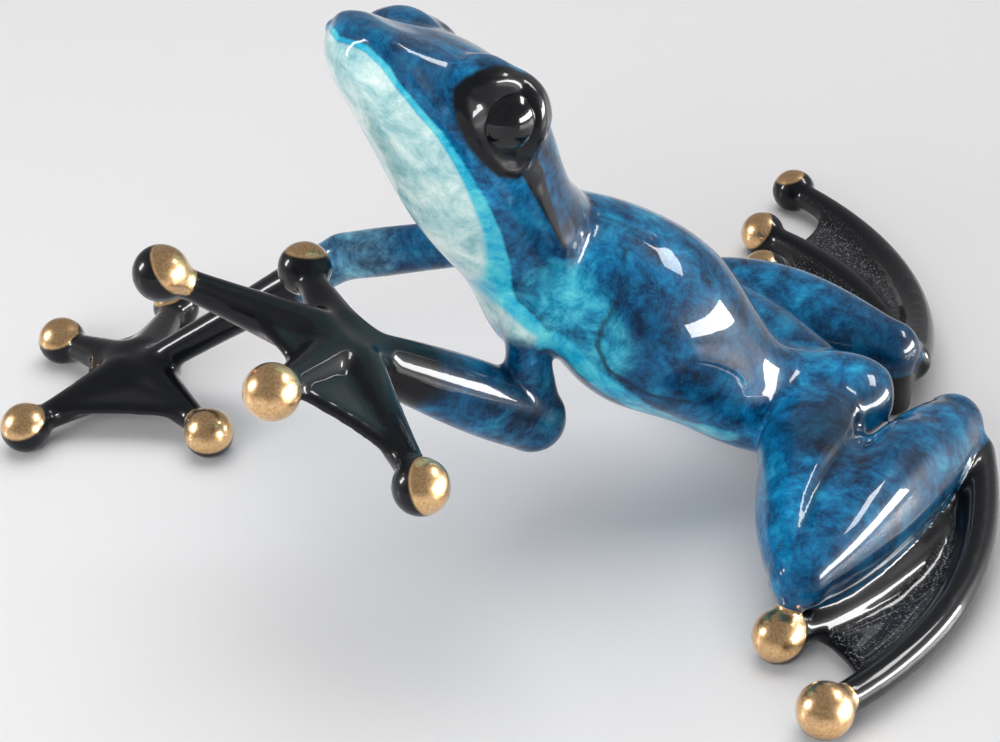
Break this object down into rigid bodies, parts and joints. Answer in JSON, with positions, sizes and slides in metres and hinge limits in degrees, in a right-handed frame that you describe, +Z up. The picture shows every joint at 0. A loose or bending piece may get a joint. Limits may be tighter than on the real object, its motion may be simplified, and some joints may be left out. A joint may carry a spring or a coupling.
{
  "type": "frog figurine",
  "caption": "Cast metal frog figurine, crawling with its head raised and one hand lifted, with ball-tipped webbed toes and a mottled blue finish.",
  "frame": {"origin": "middle of the frog's outline seen from above, on the surface that it stands on", "axes": "+X to the frog's left, +Y towards its tail, +Z up; it crawls towards -Y"},
  "size_m": [0.1675, 0.156, 0.083],
  "materials": {
    "blue_patina": "mottled blue patina under high-gloss clear lacquer",
    "black_patina": "blue-black patina with bare bronze toe pads under high-gloss clear lacquer",
    "eye_gloss": "polished black under high-gloss clear lacquer"
  },
  "bodies": {
    "root": {"body": "blue_patina", "head": "blue_patina", "left_eye": "eye_gloss", "right_eye": "eye_gloss", "left_arm": "blue_patina", "right_arm": "blue_patina", "left_hand": "black_patina", "right_hand": "black_patina", "left_leg": "blue_patina", "right_leg": "blue_patina", "left_foot": "black_patina", "right_foot": "black_patina"}
  },
  "joints": []
}
